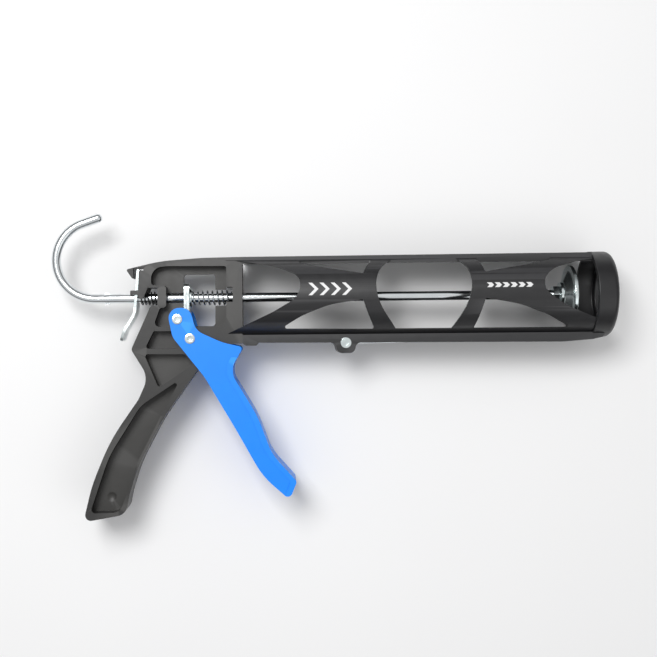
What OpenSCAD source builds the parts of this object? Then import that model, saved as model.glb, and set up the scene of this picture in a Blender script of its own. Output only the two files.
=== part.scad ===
// Skeleton caulking gun for a rigid 50 mm cartridge.
// +X points to the muzzle, +Y is up the gun, +Z is its right-hand side.
// The origin is on the barrel axis, on the face that the cartridge's base stands against.

/* [Cartridge bay] */
// Inside radius of the barrel cradle
bay_r = 25.5; // [25.2:0.1:26]
// Wall of the cradle
wall = 2.4; // [2:0.1:2.6]
// Cradle length from the cartridge seat to the back of the front ring
cradle_len = 239; // [237:0.5:241]
// Half thickness of the flat frame, which the top rail and the keel continue
frame_half = 12.2; // [11.8:0.1:12.4]
// Underside of the keel below the barrel axis, at its rear end
keel_low = 31.4; // [31.1:0.1:31.7]
// How much lower the keel is at its front end
keel_fall = 1.1; // [0.8:0.1:1.4]

/* [Front ring] */
// Outside radius of the ring
ring_r = 29.5; // [29.2:0.1:29.8]
// Length of the ring
ring_len = 14.5; // [13:0.5:16]
// Thickness of the flange that stops the cartridge
flange_t = 3; // [2.5:0.1:3.5]
// Radius of the opening for the nozzle
nozzle_r = 21; // [19:0.1:23]

/* [Rod] */
// Radius of the push rod
rod_r = 3.2; // [3:0.05:3.25]
// Radius of the bend of the hook
hook_r = 26.8; // [26:0.1:28]
// Where the bend of the hook starts, behind the seat
hook_x = 102.5; // [101:0.5:105]
// Outside radius of the plunger disc
plunger_r = 20.1; // [19:0.1:20.8]
// Back face of the plunger disc's centre at rest
plunger_x = 221.2; // [217:0.1:222]

/* [Trigger and drive] */
// Pivot pin, forward of the seat (negative is behind it)
pivot_x = -35.8; // [-36:0.1:-35.6]
// Pivot pin, above the barrel axis
pivot_y = -28.1; // [-28.3:0.1:-27.9]
// Drive pin, forward of the seat
drive_x = -44.3; // [-44.5:0.1:-44.2]
// Drive pin, above the barrel axis
drive_y = -14.8; // [-15:0.1:-14.6]
// Radius of the shank of both pins
pin_r = 2.4; // [2.2:0.05:2.5]
// Thickness of each trigger cheek
cheek_t = 3; // [2.6:0.1:3.2]
// Thickness of one drive plate
plate_t = 1.9; // [1.7:0.1:2]

/* [Springs] */
// Mean radius of the drive spring
drive_spring_r = 4.7; // [4.5:0.1:4.9]
// Wire radius of the drive spring
drive_wire_r = 0.55; // [0.45:0.05:0.6]
// Turns of the release spring
release_turns = 5; // [4:1:6]

/* [Hidden] */

$fn = 96;
chord_tol = 0.05;      // how far an outline's chord may stand off its true arc
shell_r = bay_r + wall;
rod_gap = 0.08;        // radial running clearance of the rod in its guides
pin_gap = 0.08;        // radial running clearance of the pivot pin in the frame
side_gap = 0.45;       // clearance between each trigger cheek and the frame
web_half = 2.5;        // half thickness of the frame's central web
spring_seat = -7.1;    // face that the drive spring pushes against
far_z = -ring_r;       // the surface that the gun lies on
rear_len = 11;         // how far the barrel shell reaches behind the seat
black = [0.13, 0.13, 0.13];
blue = [0.12, 0.52, 0.95];
steel = [0.78, 0.81, 0.82];

// Outlines. A vertex is [x, y, r], where r rounds the corner.
function flat(p) = [p.x, p.y];
function unit(v) = v / norm(v);
function turned(v, a) = [v.x * cos(a) - v.y * sin(a), v.x * sin(a) + v.y * cos(a)];
function corner(a, b, c) =
    b[2] == 0 ? [flat(b)] :
    let (
        u = unit(flat(a) - flat(b)),
        v = unit(flat(c) - flat(b)),
        half = acos(max(-1, min(1, u * v))) / 2,
        sweep = (180 - 2 * half) * (cross(u, v) > 0 ? -1 : 1),
        centre = flat(b) + unit(u + v) * b[2] / sin(half),
        start = flat(b) + u * b[2] / tan(half) - centre,
        step = min(15, 2 * acos(max(0, 1 - chord_tol / b[2]))),
        n = max(1, ceil(abs(sweep) / step))
    )
    [for (i = [0 : n]) centre + turned(start, sweep * i / n)];
function rounded(p) =
    let (n = len(p))
    [for (i = [0 : n - 1]) each corner(p[(i + n - 1) % n], p[i], p[(i + 1) % n])];

// A helix of round wire along X, from x0 to x1
function helix_point(r, x0, x1, turns, t) =
    [x0 + (x1 - x0) * t, r * cos(360 * turns * t), r * sin(360 * turns * t)];
module wire_helix(r, wire, x0, x1, turns) {
    sides = 8;
    rings = 18 * turns;
    slope = atan2(x1 - x0, 360 * turns * r * PI / 180);
    points = [for (i = [0 : rings]) let (
            c = helix_point(r, x0, x1, turns, i / rings),
            a = 360 * turns * i / rings,
            radial = [0, cos(a), sin(a)],
            side = [cos(slope), sin(slope) * sin(a), -sin(slope) * cos(a)]
        ) for (j = [0 : sides - 1])
            c + wire * (cos(360 * j / sides) * radial + sin(360 * j / sides) * side)];
    walls = [for (i = [0 : rings - 1]) for (j = [0 : sides - 1])
        [i * sides + j, i * sides + (j + 1) % sides,
         (i + 1) * sides + (j + 1) % sides, (i + 1) * sides + j]];
    first = [for (j = [0 : sides - 1]) sides - 1 - j];
    last = [for (j = [0 : sides - 1]) rings * sides + j];
    polyhedron(points, concat(walls, [first, last]));
}

// Round bar along X
module bar_x(r, x0, x1) {
    translate([x0, 0, 0])
        rotate([0, 90, 0])
            cylinder(r = r, h = x1 - x0);
}
module block(x0, x1, y0, y1, z0, z1) {
    translate([x0, y0, z0])
        cube([x1 - x0, y1 - y0, z1 - z0]);
}
// An outline standing on the XY plane, between two heights
module plate(outline, z0, z1) {
    translate([0, 0, z0])
        linear_extrude(z1 - z0)
            polygon(rounded(outline));
}
// An outline of [z, y] vertices standing across the gun
module across(outline, x0, t) {
    translate([x0, 0, 0])
        rotate([0, 90, 0])
            linear_extrude(t)
                polygon(rounded(outline));
}
// The same cut made into both flanks of the frame, down to the central web
module both_flanks(outline, floor_z) {
    plate(outline, floor_z, frame_half + 1);
    plate(outline, -frame_half - 1, -floor_z);
}
// Semi-tubular rivet along Z with two rolled heads
module tube_rivet(x, y, shank_r, hole_r, head_r, inner_half, head_t) {
    translate([x, y, 0])
        difference() {
            union() {
                cylinder(r = shank_r, h = 2 * inner_half, center = true);
                for (side = [-1, 1])
                    translate([0, 0, side * (inner_half + head_t / 2)])
                        cylinder(r = head_r, h = head_t, center = true);
            }
            for (side = [-1, 1])
                translate([0, 0, side * (inner_half + head_t)])
                    cylinder(r = hole_r, h = 3, center = true);
        }
}

// ---- frame and handle -------------------------------------------------
frame_outline = [
    [-79.4, 19.5, 1.1], [-55.8, 25, 98], [-27.1, 27, 144], [0, 27.4, 0],
    [0, -31.9, 0], [-8.4, -31.8, 13], [-31.2, -49.6, 13],
    [-55.3, -83.2, 133], [-72.1, -114.7, 106], [-78.1, -133.8, 53], [-81.1, -148, 7.9],
    [-110, -153, 3.9], [-104, -128.3, 104], [-91.3, -97.5, 131],
    [-71.5, -69.3, 16], [-64.7, -54.2, 14], [-76.3, -35.3, 3.5],
    [-62.5, -5.3, 0.9], [-58, -5.3, 0.5], [-57.9, 7, 0.5], [-66.1, 7, 1.3],
    [-67.4, 11.2, 2.6], [-67.4, 20.8, 0.7], [-74.4, 20.8, 0.8], [-74.4, 12.3, 0.5]
];
mechanism_pocket = [
    [-10.8, 21.3, 1.4], [-52.2, 21.6, 27], [-62.2, 20.1, 8], [-62.2, 8.5, 2.2], [-52, 8.5, 2.2],
    [-52, -6.8, 2.2], [-56.3, -6.8, 2.2], [-61.2, -19.9, 3.1], [-15.1, -20.2, 1.8], [-11, -14.2, 1.8]
];
mechanism_window = [
    [-18.7, 16.3, 2.3], [-40.7, 16.2, 2.2], [-40.7, -9.6, 0.9], [-48.2, -9.6, 2.7],
    [-48.2, -19.6, 2.7], [-19, -19.7, 2.3]
];
rib_pocket = [[-44, -22.9, 1.8], [-60.8, -22.8, 1.3], [-66.9, -34.7, 1.6], [-44.1, -34.9, 1.8]];
thumb_pocket = [[-39.7, -38.7, 1.8], [-67.5, -38.4, 1.8], [-57.9, -61.5, 1.8], [-33.7, -45.7, 1.8]];
grip_pocket = [
    [-42.9, -55.8, 1.3], [-70.1, -73.6, 23], [-92.2, -108.2, 78], [-105.5, -147, 2.6],
    [-85.3, -146.6, 7], [-78.9, -131.9, 12], [-73.4, -113.8, 53], [-56.4, -80.9, 89]
];
module keeper(side) {
    // finger beside the release lever, with a barbed arm that stops it falling out
    finger = [[-67.7, 18.8, 0], [-70.7, 18.8, 0.9], [-70.7, 5.2, 0.7], [-76.5, 5.1, 0.7],
        [-76.6, 1.1, 0.5], [-75.2, 1.3, 0.3], [-75.2, 2.5, 0.4], [-71.3, 2.3, 1.1],
        [-70.6, -0.5, 0.5], [-67.9, -0.5, 0], [-64.3, 7.6, 0]];
    plate(finger, side > 0 ? 9.7 : -frame_half, side > 0 ? frame_half : -9.7);
}
module handle_frame() {
    color(black)
        difference() {
            union() {
                plate(frame_outline, -frame_half, frame_half);
                for (side = [-1, 1]) keeper(side);
            }
            both_flanks(mechanism_pocket, web_half);
            both_flanks(rib_pocket, web_half);
            both_flanks(thumb_pocket, web_half);
            both_flanks(grip_pocket, web_half);
            plate(mechanism_window, -frame_half, frame_half);
            // the rod's slot through the web, its bores, and the relief over the front bore
            block(-52.1, -40, -3.6, 3.6, -frame_half, frame_half);
            bar_x(rod_r + rod_gap, -90, 1);
            for (side = [-1, 1])
                scale([1, 1, side])
                    block(-11.5, -6.5, -3.2, 7.1, 0, frame_half + 1);
            // seat for the drive spring, and the way through the web to it
            bar_x(6.1, -20, spring_seat);
            // shallow moulded dimples near the butt
            for (side = [-1, 1])
                translate([-91.7, -137.1, side * (web_half + 5.6)])
                    rotate([90, 0, 0])
                        sphere(r = 6.6, $fn = 64);
            translate([pivot_x, pivot_y, 0])
                cylinder(r = pin_r + pin_gap, h = 3 * frame_half, center = true);
        }
}

// ---- barrel -----------------------------------------------------------
// Windows in the right-hand half of the shell, each as seen along Z
window_rear = [
    [-27.1, 24.9, 0], [-5, 24.9, 1.8], [22.8, 20.5, 47], [41.5, 12.5, 8.5], [37.1, -1.2, 14], [21.3, -10.4, 56],
    [-10.9, -25.4, 0.9], [-27.4, -25.3, 0]
];
window_top_rear = [[31.4, 24.2, 0.9], [54.6, 19.5, 57], [82, 14.9, 1], [84.7, 20.7, 12], [89.8, 24.7, 1]];
window_low_rear = [
    [26.4, -21.8, 1.1], [40.3, -13.2, 47], [58.9, -5.9, 58], [81.5, -2.6, 1], [85, -12.6, 58], [90, -22.5, 1]
];
window_middle = [
    [101.6, 24.7, 1], [92.5, 17.4, 14], [89.2, 5.8, 24], [93.7, -7.9, 39], [104.4, -22.8, 1],
    [142.2, -23, 1], [150.9, -8, 40], [155.6, 5.9, 26], [153.5, 17.7, 14], [146.4, 25.1, 1]
];
window_top_front = [[158.6, 25.2, 1], [162.3, 21.1, 12], [163.9, 15.4, 1], [193, 20.2, 61], [220, 25.6, 1]];
window_low_front = [
    [156.9, -22.9, 1], [160.3, -12.9, 61], [163.6, -2.4, 1], [187.1, -6.6, 62], [206.8, -14.1, 62], [224.3, -23, 1.2]
];
window_front = [
    [255.7, 25.5, 0], [230.5, 23.1, 63], [208.9, 17, 17], [200, 6, 8.6], [215.1, -7.1, 63],
    [240.3, -16.9, 0], [255.2, -17, 0]
];
keel_outline = [
    [0, -26, 0], [0, -31.9, 0], [2.2, -33.3, 0.5], [9.4, -33.3, 0.5], [11, -keel_low, 0.5],
    [219, -keel_low - keel_fall, 40], [cradle_len, -31, 0], [cradle_len, -26, 0]
];
punch_x = 70.6;
punch_y = -31.9;
boss_outline = [
    [punch_x - 15, -28, 0], [punch_x - 15, -keel_low, 0], [punch_x - 7.1, -keel_low - 0.4, 4.3],
    [punch_x - 5.9, -39, 4], [punch_x + 5.9, -39, 4],
    [punch_x + 7.1, -keel_low - 0.4, 4.3], [punch_x + 15, -keel_low, 0], [punch_x + 15, -28, 0]
];
punch_slot = 1.7;      // half width of the slot for the seal punch
punch_len = 85;
rail_outline = [[0, 20, 0], [cradle_len, 20, 0], [cradle_len, 28.4, 0], [0, 27.4, 0]];
module half_tube(x0, x1) {
    rotate([0, 90, 0])
        rotate([0, 0, 90])
            rotate_extrude(angle = 180)
                translate([bay_r, x0])
                    square([wall, x1 - x0]);
}
module barrel_cradle() {
    windows = [window_top_rear, window_low_rear, window_middle, window_top_front,
        window_low_front, window_front];
    color(black)
        difference() {
            union() {
                difference() {
                    half_tube(-rear_len, cradle_len);
                    block(-rear_len - 1, 0, -40, 40, -1, frame_half);
                }
                // straight walls with shallow lips, which leave the far side open
                for (side = [-1, 1])
                    scale([1, side, 1]) {
                        block(0, cradle_len, bay_r, shell_r, far_z, 0);
                        block(0, cradle_len, bay_r - 0.6, bay_r + 1, far_z, far_z + 1.4);
                    }
                difference() {
                    plate(rail_outline, 3, frame_half);
                    bar_x(bay_r + wall / 2, -1, cradle_len + 1);
                }
                plate(keel_outline, -frame_half, frame_half);
                plate(boss_outline, -frame_half, frame_half);
            }
            plate(window_rear, frame_half, 40);
            for (w = windows) plate(w, frame_half, 40);
            // slot under the keel that the seal punch folds into
            block(punch_x - 7, punch_x + punch_len + 4, -45, -28.2, -punch_slot, punch_slot);
            translate([punch_x, punch_y, 0])
                cylinder(r = 2.1, h = 40, center = true);
        }
}
module front_ring() {
    back = cradle_len;
    front = cradle_len + ring_len;
    profile = [
        [nozzle_r, front - flange_t, 0.5], [bay_r + 0.8, front - flange_t, 1], [bay_r + 0.8, back, 0],
        [ring_r, back, 0.8], [ring_r, front, 4], [nozzle_r, front, 0.5]
    ];
    tail = [[back, -26.5, 0], [back, -31, 0], [back + 7, -29.5, 1], [back + 9, -26.5, 0]];
    color(black)
        union() {
            rotate([0, 90, 0])
                rotate_extrude()
                    polygon(rounded(profile));
            difference() {
                plate(tail, -frame_half, frame_half);
                bar_x(bay_r + 2, back - 1, front + 1);
            }
        }
}

// ---- trigger ----------------------------------------------------------
trigger_outline = [
    [-51.7, -7.1, 7.1], [-35.8, -7.1, 7.2], [-31.8, -22.7, 11], [-13.7, -31, 36], [0.4, -34.2, 2],
    [-8.9, -50, 13], [9.9, -81.4, 83], [19.3, -107, 37], [36.2, -125.9, 2.8], [31.1, -138.3, 3.2],
    [12.8, -122.1, 56], [-4.6, -90.9, 147], [-26.2, -54.1, 36], [-47.6, -27, 11]
];
cheek_in = frame_half + side_gap;
cheek_out = cheek_in + cheek_t;
module trigger_front(reach, y_top) {
    // the part of the outline that lies within reach of its front edge
    intersection() {
        difference() {
            polygon(rounded(trigger_outline));
            translate([-reach, 0])
                polygon(rounded(trigger_outline));
        }
        translate([-30, -200])
            square([100, 200 + y_top]);
    }
}
module trigger() {
    color(blue)
        difference() {
            union() {
                for (side = [-1, 1])
                    scale([1, 1, side])
                        plate(trigger_outline, cheek_in, cheek_out);
                translate([0, 0, -cheek_in])
                    linear_extrude(2 * cheek_in)
                        trigger_front(3.1, -37);
                // the finger edge stands slightly proud of the cheeks
                translate([0, 0, -cheek_out - 0.7])
                    linear_extrude(2 * cheek_out + 1.4)
                        trigger_front(4.2, -41);
            }
            // room between the cheeks again, behind the finger edge
            translate([0, 0, -cheek_in])
                linear_extrude(2 * cheek_in)
                    translate([-3.1, 0])
                        polygon(rounded(trigger_outline));
            for (p = [[pivot_x, pivot_y], [drive_x, drive_y]])
                translate([p.x, p.y, 0])
                    cylinder(r = pin_r, h = 60, center = true);
        }
}
module trigger_rivet(x, y) {
    color(steel)
        tube_rivet(x, y, pin_r, 1.6, 3.4, cheek_out, 0.8);
}
module pivot_pin() {
    trigger_rivet(pivot_x, pivot_y);
}
module drive_pin() {
    trigger_rivet(drive_x, drive_y);
}

// ---- drive ------------------------------------------------------------
drive_face = drive_x + pin_r + 1.7;    // the plates stand clear of the drive pin
module drive_plate(x0) {
    outline = [[-9.5, -18.9, 2.7], [9.5, -18.9, 2.7], [9.5, 9.6, 3.2], [-9.5, 9.6, 3.2]];
    color(steel)
        difference() {
            across(outline, x0, plate_t);
            bar_x(rod_r + rod_gap, x0 - 1, x0 + plate_t + 1);
        }
}
module drive_plate_rear() {
    drive_plate(drive_face);
}
module drive_plate_front() {
    drive_plate(drive_face + plate_t);
}
washer_x = drive_face + 2 * plate_t;
washer_t = 1.3;
module spring_washer() {
    color(steel)
        difference() {
            bar_x(6.5, washer_x, washer_x + washer_t);
            bar_x(rod_r + rod_gap, washer_x - 1, washer_x + 3);
        }
}
spring_start = washer_x + washer_t + drive_wire_r;
module drive_spring() {
    color(steel)
        wire_helix(drive_spring_r, drive_wire_r, spring_start, spring_seat - drive_wire_r, 8);
}

// ---- release ----------------------------------------------------------
lever_lean = 5.3;        // the lever leans back from its fulcrum and so grips the rod
lever_t = 1.8;
lever_half = 9.2;
lever_bead = 0.5;
fulcrum = [-70.4, 19.5];
module release_lever() {
    // seen from the side: a leaning plate, then a thumb tab that sweeps back
    side_view = [
        [0, -lever_bead, 0], [0, -30.5, 12], [-6.1, -43.1, 6], [-7.8, -50.1, 0.7], [-9.6, -49.6, 0.7],
        [-7.8, -41.8, 7], [-lever_t, -30, 10.5], [-lever_t, -lever_bead, 0]
    ];
    // seen from behind: a plate with a round thumb end
    rear_view = [
        [-lever_half, 1, 1], [-lever_half, -26, 9], [-9.8, -52, 8], [9.8, -52, 8],
        [lever_half, -26, 9], [lever_half, 1, 1]
    ];
    color(steel)
        difference() {
            translate([fulcrum.x, fulcrum.y, 0])
                rotate([0, 0, -lever_lean])
                    intersection() {
                        union() {
                            plate(side_view, -12, 12);
                            // rounded upper edge that turns against the frame
                            translate([-lever_t / 2, -lever_bead, -12])
                                cylinder(r = lever_t / 2, h = 24);
                        }
                        across(rear_view, -20, 30);
                    }
            bar_x(rod_r + 0.4, -90, -60);
        }
}
module release_spring() {
    color(steel)
        wire_helix(4.3, 0.45, -70.7, -58.6, release_turns);
}

// ---- rod and plunger --------------------------------------------------
rod_end = plunger_x + 7;
hook_sweep = 161;      // how far the hook turns before its straight tip
hook_tip = 11.7;
module push_rod() {
    color(steel)
        union() {
            translate([-hook_x, 0, 0])
                rotate([0, 90, 0])
                    rotate([0, 0, -90])
                        cylinder(r = rod_r, h = rod_end + hook_x);
            translate([-hook_x, hook_r, 0])
                rotate([0, 0, 270 - hook_sweep])
                    rotate_extrude(angle = hook_sweep)
                        translate([hook_r, 0])
                            circle(r = rod_r);
            translate([-hook_x, hook_r, 0])
                rotate([0, 0, 270 - hook_sweep])
                    translate([hook_r, 0, 0]) {
                        rotate([90, 0, 0])
                            cylinder(r = rod_r, h = hook_tip);
                        translate([0, -hook_tip, 0])
                            sphere(r = rod_r);
                    }
            // swaged ears that stop the rod against the release lever
            plate([[-95.9, 4.1, 0.9], [-95.9, -4.1, 0.9], [-92.1, -4.1, 0.9], [-92.1, 4.1, 0.9]], -0.8, 0.8);
        }
}
module plunger_nut() {
    nut_t = 5;
    color(steel)
        difference() {
            translate([plunger_x - 1.6 - nut_t, 0, 0])
                rotate([0, 90, 0])
                    cylinder(r = 6.4, h = nut_t, $fn = 6);
            bar_x(rod_r, plunger_x - 20, plunger_x);
        }
}
module rod_washer(x0, r, t) {
    color(steel)
        difference() {
            bar_x(r, x0, x0 + t);
            bar_x(rod_r, x0 - 1, x0 + t + 1);
        }
}
module plunger_washer() {
    rod_washer(plunger_x - 1.6, 8.4, 1.5);
}
module plunger_disc() {
    t = 1.4;
    dish = 4.4;        // how far the rim stands forward of the centre
    profile = [
        [rod_r + rod_gap, 0, 0], [9, 0, 3], [16.4, dish, 3], [plunger_r, dish, 0.3],
        [plunger_r, dish + 2.4, 0.6], [plunger_r - t, dish + 2.4, 0.6], [plunger_r - t, dish + t, 0.3],
        [16, dish + t, 3], [8.4, t, 3], [rod_r + rod_gap, t, 0]
    ];
    color(steel)
        translate([plunger_x, 0, 0])
            rotate([0, 90, 0])
                rotate_extrude()
                    polygon(rounded(profile));
}
module end_washer() {
    rod_washer(plunger_x + 1.5, 7, 1.2);
}
module end_nut() {
    color(steel)
        difference() {
            translate([plunger_x + 2.7, 0, 0])
                rotate([0, 90, 0])
                    cylinder(r = 5.8, h = 3.4, $fn = 6);
            bar_x(rod_r, plunger_x, rod_end + 1);
        }
}

// ---- seal punch -------------------------------------------------------
punch_lift = 1.2;      // the folded wire climbs into the slot by this angle
module seal_punch() {
    wire = 1.15;
    color(steel)
        translate([punch_x, punch_y, 0])
            rotate([0, 0, punch_lift])
                difference() {
                    union() {
                        cylinder(r = 3.4, h = 2 * wire, center = true);
                        bar_x(wire, 3, punch_len - 4);
                        translate([punch_len - 4, 0, 0])
                            rotate([0, 90, 0])
                                cylinder(r1 = wire, r2 = 0.3, h = 5);
                    }
                    cylinder(r = 2.18, h = 10, center = true);
                }
}
module punch_rivet() {
    color(steel)
        tube_rivet(punch_x, punch_y, 2.1, 1.4, 3.6, frame_half, 0.8);
}

handle_frame();
barrel_cradle();
front_ring();
trigger();
pivot_pin();
drive_pin();
drive_plate_rear();
drive_plate_front();
spring_washer();
drive_spring();
release_lever();
release_spring();
push_rod();
plunger_nut();
plunger_washer();
plunger_disc();
end_washer();
end_nut();
seal_punch();
punch_rivet();
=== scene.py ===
"""A skeleton caulking gun that lies on its left side on a pale table, seen from above."""

import math

import bpy
from mathutils import Matrix, Vector


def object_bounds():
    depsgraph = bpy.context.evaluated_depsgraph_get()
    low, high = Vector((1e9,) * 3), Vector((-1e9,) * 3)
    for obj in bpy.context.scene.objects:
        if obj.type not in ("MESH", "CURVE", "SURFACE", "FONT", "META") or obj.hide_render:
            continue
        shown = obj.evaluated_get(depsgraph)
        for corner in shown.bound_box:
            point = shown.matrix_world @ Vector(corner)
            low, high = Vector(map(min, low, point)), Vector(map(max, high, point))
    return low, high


MM = 0.001

# ---- driving values --------------------------------------------------------
SMOOTH_ANGLE = math.radians(48)      # a sharper turn than this keeps its crease
BEVEL_ANGLE = math.radians(35)       # a sharper turn than this gets a small radius
WELD_GAP = 0.002 * MM
POCKET_FLOOR = (2.6 * MM, 3.2 * MM)  # off the middle plane: all floor under the first, none over the second
CAMERA_PLACE = (0.02283, -0.02175, 0.75)
CAMERA_ROLL = math.radians(-0.54)
SENSOR_WIDTH = 36                    # mm
LENS = 59.18                         # mm
SIDE_SHIFT = 0.08
AIM = (0.05, -0.05, 0)               # where both lamps point
SKY_STRENGTH = 0.7
TABLE_HALF = 3.0

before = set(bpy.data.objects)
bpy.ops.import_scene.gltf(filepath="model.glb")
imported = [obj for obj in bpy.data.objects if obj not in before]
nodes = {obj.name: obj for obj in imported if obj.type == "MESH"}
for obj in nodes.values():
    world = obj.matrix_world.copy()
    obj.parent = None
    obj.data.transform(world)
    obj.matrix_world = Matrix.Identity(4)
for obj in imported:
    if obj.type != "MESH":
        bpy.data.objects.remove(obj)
cad_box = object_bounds()


# ---- node helpers ----------------------------------------------------------
class Graph:
    """A material's node tree, with short calls for the nodes used here."""

    def __init__(self, name):
        self.material = bpy.data.materials.new(name)
        self.material.use_nodes = True
        self.tree = self.material.node_tree
        self.shader = self.tree.nodes["Principled BSDF"]
        self.place = self.add("ShaderNodeTexCoord").outputs["Object"]

    def add(self, kind, **settings):
        node = self.tree.nodes.new(kind)
        for key, value in settings.items():
            setattr(node, key, value)
        return node

    def link(self, source, target):
        self.tree.links.new(source, target)

    def set(self, **values):
        for key, value in values.items():
            self.shader.inputs[key.replace("_", " ")].default_value = value

    def noise(self, scale, detail=3.0, rough=0.55, stretch=None):
        """Noise whose features are about 1/scale metres across."""
        node = self.add("ShaderNodeTexNoise")
        node.inputs["Scale"].default_value = scale
        node.inputs["Detail"].default_value = detail
        node.inputs["Roughness"].default_value = rough
        place = self.place
        if stretch:
            mapping = self.add("ShaderNodeMapping")
            mapping.inputs["Scale"].default_value = stretch
            self.link(place, mapping.inputs["Vector"])
            place = mapping.outputs["Vector"]
        self.link(place, node.inputs["Vector"])
        return node.outputs["Fac"]

    def spread(self, value, low, high, source=(0.3, 0.7)):
        """value, carried from the source range to low...high."""
        node = self.add("ShaderNodeMapRange")
        node.inputs["From Min"].default_value = source[0]
        node.inputs["From Max"].default_value = source[1]
        node.inputs["To Min"].default_value = low
        node.inputs["To Max"].default_value = high
        self.link(value, node.inputs["Value"])
        return node.outputs["Result"]

    def blend(self, value, first, second):
        """A colour between first and second, each a colour or a socket."""
        node = self.add("ShaderNodeMix", data_type="RGBA")
        self.link(value, node.inputs["Factor"])
        for socket, colour in ((node.inputs[6], first), (node.inputs[7], second)):
            if isinstance(colour, tuple):
                socket.default_value = (*colour, 1)
            else:
                self.link(colour, socket)
        return node.outputs[2]

    def bump(self, height, distance, strength=1.0, under=None):
        node = self.add("ShaderNodeBump")
        node.inputs["Distance"].default_value = distance
        node.inputs["Strength"].default_value = strength
        self.link(height, node.inputs["Height"])
        if under:
            self.link(under, node.inputs["Normal"])
        return node.outputs["Normal"]

    def edges(self, low=0.52, high=0.6):
        """1 along convex edges, 0 elsewhere."""
        pointiness = self.add("ShaderNodeNewGeometry").outputs["Pointiness"]
        return self.spread(pointiness, 0, 1, (low, high))

    def math(self, operation, first, second):
        """first and second are each a number or a socket."""
        node = self.add("ShaderNodeMath", operation=operation)
        for socket, value in zip(node.inputs, (first, second)):
            if isinstance(value, (int, float)):
                socket.default_value = value
            else:
                self.link(value, socket)
        return node.outputs[0]

    def axis(self, name):
        """One coordinate of the surface point in metres, in the object's own frame."""
        node = self.add("ShaderNodeSeparateXYZ")
        self.link(self.place, node.inputs[0])
        return node.outputs[name]


def moulded_plastic(name, colour, painted_edge_highlight, rough, grain, painted_floor_light=None, spread=0.05):
    """Spark-eroded moulded plastic: fine grain, a faint sheen, and convex edges painted paler as a painted
    highlight.
    """
    g = Graph(name)
    cloud = g.noise(70, 4)
    dark, light = (tuple(c * f for c in colour) for f in (1 - spread, 1 + spread))
    tone = g.blend(g.spread(cloud, 0, 1), dark, light)
    if painted_floor_light:
        # painted light: the floors of the pockets are painted a lighter tone for the light they catch
        depth = g.math("ABSOLUTE", g.axis("Z"), 0)
        tone = g.blend(g.spread(depth, 1, 0, POCKET_FLOOR), tone, painted_floor_light)
    # painted highlight: convex edges are painted in the paler second colour
    g.link(g.blend(g.edges(), tone, painted_edge_highlight), g.shader.inputs["Base Color"])
    g.link(g.spread(g.noise(260, 2), rough - 0.05, rough + 0.06), g.shader.inputs["Roughness"])
    fine = g.noise(1500, 3)
    flow = g.bump(g.noise(45, 1), 0.0001, 0.3)
    g.link(g.bump(fine, 0.00003, grain, flow), g.shader.inputs["Normal"])
    return g


def chevrons(g, x_start, x_end, y_mid, half, pitch, fill, z_above=0.015):
    """1 inside a row of forward-pointing chevrons that is printed where the surface is over z_above."""
    x, y, z = g.axis("X"), g.axis("Y"), g.axis("Z")
    off = g.math("ABSOLUTE", g.math("SUBTRACT", y, y_mid), 0)
    along = g.math("ADD", g.math("SUBTRACT", x, x_start), off)
    phase = g.math("FRACT", g.math("DIVIDE", along, pitch), 0)
    mark = g.math("LESS_THAN", phase, fill)
    for test in (g.math("LESS_THAN", off, half), g.math("GREATER_THAN", along, 0),
                 g.math("LESS_THAN", along, x_end - x_start), g.math("GREATER_THAN", z, z_above)):
        mark = g.math("MULTIPLY", mark, test)
    return mark


def plated_steel(name, colour, shade, rough, streak):
    """Bright zinc over drawn or stamped steel: faint clouds in the plating and fine streaks."""
    g = Graph(name)
    cloud = g.noise(60, 3, 0.5)
    g.link(g.blend(g.spread(cloud, 0, 1), shade, colour), g.shader.inputs["Base Color"])
    gloss = g.spread(g.noise(300, 3, 0.6, streak), rough - 0.04, rough + 0.05)
    g.link(gloss, g.shader.inputs["Roughness"])
    lines = g.noise(900, 3, 0.6, streak)
    g.link(g.bump(lines, 0.000006, 0.4), g.shader.inputs["Normal"])
    g.set(Metallic=1.0)
    return g.material


def pale_table():
    g = Graph("pale_table")
    tone = g.spread(g.noise(3, 2), 0, 1)
    g.link(g.blend(tone, (0.83, 0.83, 0.83), (0.85, 0.85, 0.85)), g.shader.inputs["Base Color"])
    g.set(Roughness=0.7)
    g.link(g.bump(g.noise(900, 2), 0.00004, 0.2), g.shader.inputs["Normal"])
    return g.material


def handle_plastic():
    # the second colour is a painted highlight for the convex edges
    colour, painted_edge_highlight, painted_floor_light = (0.017, 0.0165, 0.016), (0.05, 0.049, 0.047), (0.030, 0.029, 0.027)
    # the third colour is painted light on the pocket floors
    g = moulded_plastic("handle_plastic", colour, painted_edge_highlight, rough=0.42, grain=0.55, painted_floor_light=painted_floor_light)
    return g.material


def barrel_plastic():
    """As the handle's, a little darker and bluer, with two rows of white marks on the cradle."""
    # the second colour is a painted highlight for the convex edges
    colour, painted_edge_highlight = (0.0105, 0.0105, 0.0115), (0.035, 0.035, 0.037)
    g = moulded_plastic("barrel_plastic", colour, painted_edge_highlight, rough=0.38, grain=0.5)
    base = g.shader.inputs["Base Color"]
    plain = base.links[0].from_socket
    rear = chevrons(g, x_start=0.049, x_end=0.079, y_mid=0.0045, half=0.0042, pitch=0.0075, fill=0.34)
    front = chevrons(g, x_start=0.166, x_end=0.1975, y_mid=0.0062, half=0.0016, pitch=0.00525, fill=0.6)
    g.link(g.blend(g.math("MAXIMUM", rear, front), plain, (0.72, 0.72, 0.72)), base)
    return g.material


def trigger_plastic():
    # the second colour is a painted highlight for the convex edges
    colour, painted_edge_highlight = (0.002, 0.235, 0.92), (0.02, 0.31, 0.95)
    g = moulded_plastic("trigger_plastic", colour, painted_edge_highlight, rough=0.42, grain=0.3, spread=0.03)
    g.set(Specular_IOR_Level=0.4)
    return g.material


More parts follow.
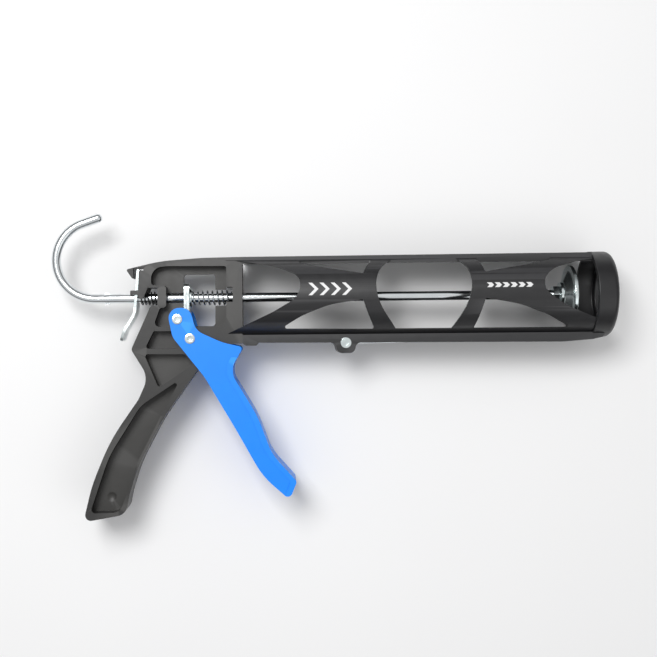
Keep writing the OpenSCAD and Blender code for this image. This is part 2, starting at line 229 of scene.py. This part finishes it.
HANDLE = handle_plastic()
BARREL = barrel_plastic()
BLUE = trigger_plastic()
ZINC = plated_steel("zinc_plate", (0.76, 0.82, 0.82), (0.64, 0.72, 0.73), 0.2, (1.0, 1.0, 1.0))
ROD_STEEL = plated_steel("drawn_rod", (0.80, 0.83, 0.84), (0.72, 0.76, 0.78), 0.17, (0.06, 1.0, 1.0))
WIRE = plated_steel("spring_wire", (0.62, 0.64, 0.65), (0.5, 0.52, 0.53), 0.24, (1.0, 1.0, 1.0))
DARK_WIRE = plated_steel("dark_wire", (0.20, 0.20, 0.20), (0.14, 0.14, 0.14), 0.3, (1.0, 1.0, 1.0))

LOOKS = {
    "handle_frame": HANDLE, "barrel_cradle": BARREL, "front_ring": BARREL, "trigger": BLUE,
    "pivot_pin": ZINC, "drive_pin": ZINC, "punch_rivet": ZINC, "drive_plate_rear": ZINC,
    "drive_plate_front": ZINC, "spring_washer": ZINC, "drive_spring": WIRE, "release_spring": DARK_WIRE,
    "release_lever": ZINC, "push_rod": ROD_STEEL, "plunger_nut": ZINC, "plunger_washer": ZINC,
    "plunger_disc": ZINC, "end_washer": ZINC, "end_nut": ZINC, "seal_punch": ROD_STEEL,
}
# radius of each node's sharp edges, in mm
EDGE = {
    "handle_frame": 0.6, "barrel_cradle": 0.5, "front_ring": 0.4, "trigger": 0.9, "drive_plate_rear": 0.35,
    "drive_plate_front": 0.35, "release_lever": 0.35, "pivot_pin": 0.3, "drive_pin": 0.3,
    "punch_rivet": 0.25, "plunger_nut": 0.3, "end_nut": 0.3, "spring_washer": 0.2,
}


def smooth_by_angle(limit):
    """A modifier's node group: smooth faces, and a sharp edge where the surface turns by more than limit."""
    tree = bpy.data.node_groups.new("smooth_by_angle", "GeometryNodeTree")
    tree.is_modifier = True
    tree.interface.new_socket("Geometry", in_out="INPUT", socket_type="NodeSocketGeometry")
    tree.interface.new_socket("Geometry", in_out="OUTPUT", socket_type="NodeSocketGeometry")
    start, end = tree.nodes.new("NodeGroupInput"), tree.nodes.new("NodeGroupOutput")
    faces = tree.nodes.new("GeometryNodeSetShadeSmooth")
    edges = tree.nodes.new("GeometryNodeSetShadeSmooth")
    faces.domain, edges.domain = "FACE", "EDGE"
    turn = tree.nodes.new("GeometryNodeInputMeshEdgeAngle")
    test = tree.nodes.new("ShaderNodeMath")
    test.operation = "LESS_THAN"
    test.inputs[1].default_value = limit
    tree.links.new(turn.outputs["Unsigned Angle"], test.inputs[0])
    tree.links.new(start.outputs[0], faces.inputs["Geometry"])
    tree.links.new(faces.outputs[0], edges.inputs["Geometry"])
    tree.links.new(test.outputs[0], edges.inputs["Shade Smooth"])
    tree.links.new(edges.outputs[0], end.inputs[0])
    return tree


def finish_cad():
    """Each CAD node gets its material, and its sharp edges a small true radius."""
    smooth = smooth_by_angle(SMOOTH_ANGLE)
    for name, obj in nodes.items():
        obj.data.materials.clear()
        obj.data.materials.append(LOOKS[name])
        if name in EDGE:
            weld = obj.modifiers.new("weld", "WELD")
            weld.merge_threshold = WELD_GAP
            bevel = obj.modifiers.new("edge", "BEVEL")
            bevel.width = EDGE[name] * MM
            bevel.segments = 2
            bevel.limit_method = "ANGLE"
            bevel.angle_limit = BEVEL_ANGLE
            bevel.use_clamp_overlap = True
            obj.modifiers.new("smooth", "NODES").node_group = smooth
            obj.modifiers.new("normals", "WEIGHTED_NORMAL").keep_sharp = True


# ---- table, light and camera ----------------------------------------------
def pale_floor():
    low = cad_box[0][2]
    mesh = bpy.data.meshes.new("table_top")
    corners = [(x * TABLE_HALF, y * TABLE_HALF, low) for x, y in ((-1, -1), (1, -1), (1, 1), (-1, 1))]
    mesh.from_pydata(corners, [], [(0, 1, 2, 3)])
    table = bpy.data.objects.new("table_top", mesh)
    bpy.context.collection.objects.link(table)
    table.data.materials.append(pale_table())


def soft_box(name, place, side, power):
    """A square lamp, side metres across, that points at AIM."""
    data = bpy.data.lights.new(name, "AREA")
    data.shape = "RECTANGLE"
    data.size = side
    data.size_y = side
    data.energy = power
    light = bpy.data.objects.new(name, data)
    bpy.context.collection.objects.link(light)
    light.location = place
    light.rotation_euler = (Vector(AIM) - Vector(place)).to_track_quat("-Z", "Y").to_euler()


def sky():
    """A white tent, brightest overhead. A dimmer band above the table gives round metal its dark edges."""
    world = bpy.data.worlds.new("studio")
    bpy.context.scene.world = world
    world.use_nodes = True
    tree = world.node_tree
    place = tree.nodes.new("ShaderNodeTexCoord")
    split = tree.nodes.new("ShaderNodeSeparateXYZ")
    ramp = tree.nodes.new("ShaderNodeValToRGB")
    tree.links.new(place.outputs["Generated"], split.inputs[0])
    tree.links.new(split.outputs["Z"], ramp.inputs["Fac"])
    stops = ramp.color_ramp.elements
    stops[0].position, stops[0].color = 0.0, (0.35, 0.35, 0.36, 1)
    stops[1].position, stops[1].color = 1.0, (1.0, 1.0, 1.0, 1)
    for position, level in ((0.25, 0.22), (0.5, 0.45), (0.72, 1.0)):
        stops.new(position).color = (level, level, level * 1.01, 1)
    tree.links.new(ramp.outputs["Color"], tree.nodes["Background"].inputs["Color"])
    tree.nodes["Background"].inputs["Strength"].default_value = SKY_STRENGTH


def studio():
    bpy.context.scene.view_settings.view_transform = "Standard"
    sky()
    soft_box("key_box", (-0.3, 0.42, 1.1), side=0.5, power=10.5)
    soft_box("fill_box", (0.75, -0.5, 0.8), side=0.8, power=1.2)


def camera():
    data = bpy.data.cameras.new("camera")
    data.sensor_width = SENSOR_WIDTH
    data.lens = LENS
    data.shift_x = SIDE_SHIFT
    view = bpy.data.objects.new("camera", data)
    bpy.context.collection.objects.link(view)
    view.matrix_world = Matrix.Translation(CAMERA_PLACE) @ Matrix.Rotation(CAMERA_ROLL, 4, "Z")
    bpy.context.scene.camera = view


finish_cad()
pale_floor()
studio()
camera()
